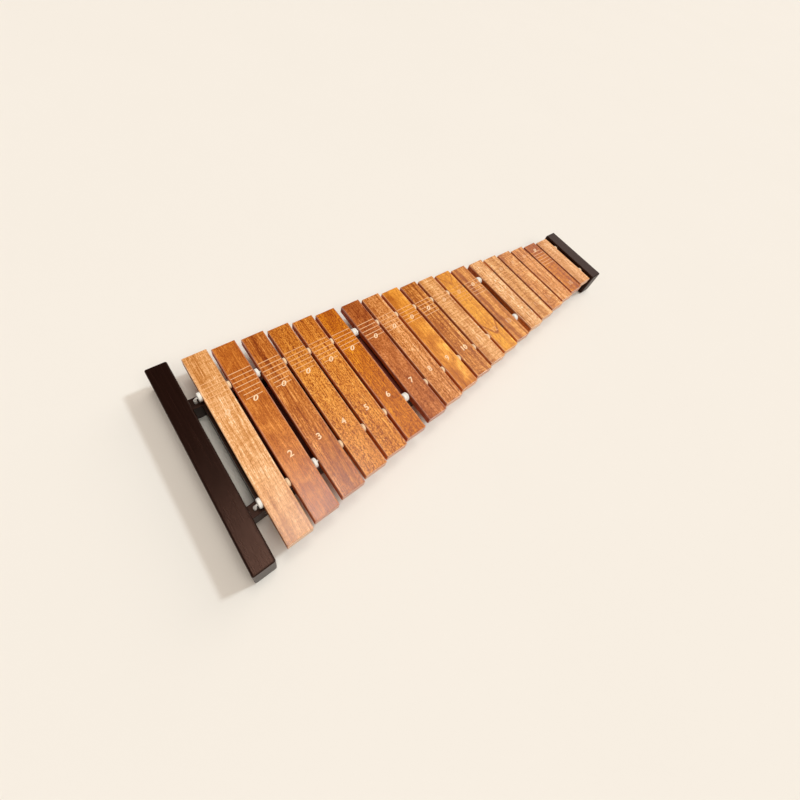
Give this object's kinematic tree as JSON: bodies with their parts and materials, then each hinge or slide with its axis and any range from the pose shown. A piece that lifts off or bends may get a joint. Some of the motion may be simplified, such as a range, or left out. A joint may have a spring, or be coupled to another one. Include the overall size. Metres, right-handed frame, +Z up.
{
  "type": "xylophone",
  "caption": "Strung table xylophone: graded wooden bars threaded on a cord above a tapering dark box with a block at each end.",
  "frame": {"origin": "centre of the overall box, on the floor under the feet", "axes": "+X from the long bass block to the short treble block, +Y from the player's side to the far side, +Z up"},
  "size_m": [0.7244, 0.266, 0.048],
  "materials": {
    "dark_wood": "satin stain",
    "bare_wood": "unfinished",
    "dark_felt": "felt",
    "cord": "braided",
    "white_felt": "pressed felt",
    "tan_felt": "pressed felt",
    "brown_felt": "pressed felt",
    "plated_steel": "nickel plated",
    "white_plastic": "moulded",
    "rubber": "matt",
    "bar_wood_pale": "thin clear lacquer",
    "bar_wood_golden": "thin clear lacquer",
    "bar_wood_red": "thin clear lacquer",
    "bar_wood_brown": "thin clear lacquer"
  },
  "bodies": {
    "frame": {"bass_end_block": "dark_wood", "treble_end_block": "dark_wood", "near_rail": "dark_wood", "far_rail": "dark_wood", "bass_cross_wall": "dark_wood", "bass_brace": "bare_wood", "treble_brace": "bare_wood", "box_bottom": "bare_wood", "near_felt_strip": "dark_felt", "far_felt_strip": "dark_felt", "stringing_cord": "cord", "near_washers": "tan_felt", "far_washers": "tan_felt", "brown_washers": "brown_felt", "thick_washers": "white_felt", "eye_washers": "white_felt", "cord_eyes": "plated_steel", "cord_ferrules": "white_plastic", "bass_block_screws": "plated_steel", "treble_block_screws": "plated_steel", "cross_wall_screws": "plated_steel", "brace_screws": "plated_steel", "rubber_feet": "rubber"},
    "tone_bar_01": {"tone_bar_01": "bar_wood_pale"},
    "tone_bar_02": {"tone_bar_02": "bar_wood_red"},
    "tone_bar_03": {"tone_bar_03": "bar_wood_red"},
    "tone_bar_04": {"tone_bar_04": "bar_wood_golden"},
    "tone_bar_05": {"tone_bar_05": "bar_wood_golden"},
    "tone_bar_06": {"tone_bar_06": "bar_wood_golden"},
    "tone_bar_07": {"tone_bar_07": "bar_wood_red"},
    "tone_bar_08": {"tone_bar_08": "bar_wood_red"},
    "tone_bar_09": {"tone_bar_09": "bar_wood_golden"},
    "tone_bar_10": {"tone_bar_10": "bar_wood_brown"},
    "tone_bar_11": {"tone_bar_11": "bar_wood_pale"},
    "tone_bar_12": {"tone_bar_12": "bar_wood_golden"},
    "tone_bar_13": {"tone_bar_13": "bar_wood_brown"},
    "tone_bar_14": {"tone_bar_14": "bar_wood_pale"},
    "tone_bar_15": {"tone_bar_15": "bar_wood_pale"},
    "tone_bar_16": {"tone_bar_16": "bar_wood_pale"},
    "tone_bar_17": {"tone_bar_17": "bar_wood_pale"},
    "tone_bar_18": {"tone_bar_18": "bar_wood_brown"},
    "tone_bar_19": {"tone_bar_19": "bar_wood_pale"}
  },
  "joints": [
    {"name": "bar_01_lift", "type": "slide", "parent": "frame", "child": "tone_bar_01", "axis": [0, 0, 1], "range_m": [0, 0.0019]},
    {"name": "bar_02_lift", "type": "slide", "parent": "frame", "child": "tone_bar_02", "axis": [0, 0, 1], "range_m": [0, 0.0019]},
    {"name": "bar_03_lift", "type": "slide", "parent": "frame", "child": "tone_bar_03", "axis": [0, 0, 1], "range_m": [0, 0.0019]},
    {"name": "bar_04_lift", "type": "slide", "parent": "frame", "child": "tone_bar_04", "axis": [0, 0, 1], "range_m": [0, 0.0019]},
    {"name": "bar_05_lift", "type": "slide", "parent": "frame", "child": "tone_bar_05", "axis": [0, 0, 1], "range_m": [0, 0.0019]},
    {"name": "bar_06_lift", "type": "slide", "parent": "frame", "child": "tone_bar_06", "axis": [0, 0, 1], "range_m": [0, 0.0019]},
    {"name": "bar_07_lift", "type": "slide", "parent": "frame", "child": "tone_bar_07", "axis": [0, 0, 1], "range_m": [0, 0.0019]},
    {"name": "bar_08_lift", "type": "slide", "parent": "frame", "child": "tone_bar_08", "axis": [0, 0, 1], "range_m": [0, 0.0019]},
    {"name": "bar_09_lift", "type": "slide", "parent": "frame", "child": "tone_bar_09", "axis": [0, 0, 1], "range_m": [0, 0.0019]},
    {"name": "bar_10_lift", "type": "slide", "parent": "frame", "child": "tone_bar_10", "axis": [0, 0, 1], "range_m": [0, 0.0019]},
    {"name": "bar_11_lift", "type": "slide", "parent": "frame", "child": "tone_bar_11", "axis": [0, 0, 1], "range_m": [0, 0.0019]},
    {"name": "bar_12_lift", "type": "slide", "parent": "frame", "child": "tone_bar_12", "axis": [0, 0, 1], "range_m": [0, 0.0019]},
    {"name": "bar_13_lift", "type": "slide", "parent": "frame", "child": "tone_bar_13", "axis": [0, 0, 1], "range_m": [0, 0.0019]},
    {"name": "bar_14_lift", "type": "slide", "parent": "frame", "child": "tone_bar_14", "axis": [0, 0, 1], "range_m": [0, 0.0019]},
    {"name": "bar_15_lift", "type": "slide", "parent": "frame", "child": "tone_bar_15", "axis": [0, 0, 1], "range_m": [0, 0.0019]},
    {"name": "bar_16_lift", "type": "slide", "parent": "frame", "child": "tone_bar_16", "axis": [0, 0, 1], "range_m": [0, 0.0019]},
    {"name": "bar_17_lift", "type": "slide", "parent": "frame", "child": "tone_bar_17", "axis": [0, 0, 1], "range_m": [0, 0.0019]},
    {"name": "bar_18_lift", "type": "slide", "parent": "frame", "child": "tone_bar_18", "axis": [0, 0, 1], "range_m": [0, 0.0019]},
    {"name": "bar_19_lift", "type": "slide", "parent": "frame", "child": "tone_bar_19", "axis": [0, 0, 1], "range_m": [0, 0.0019]}
  ]
}
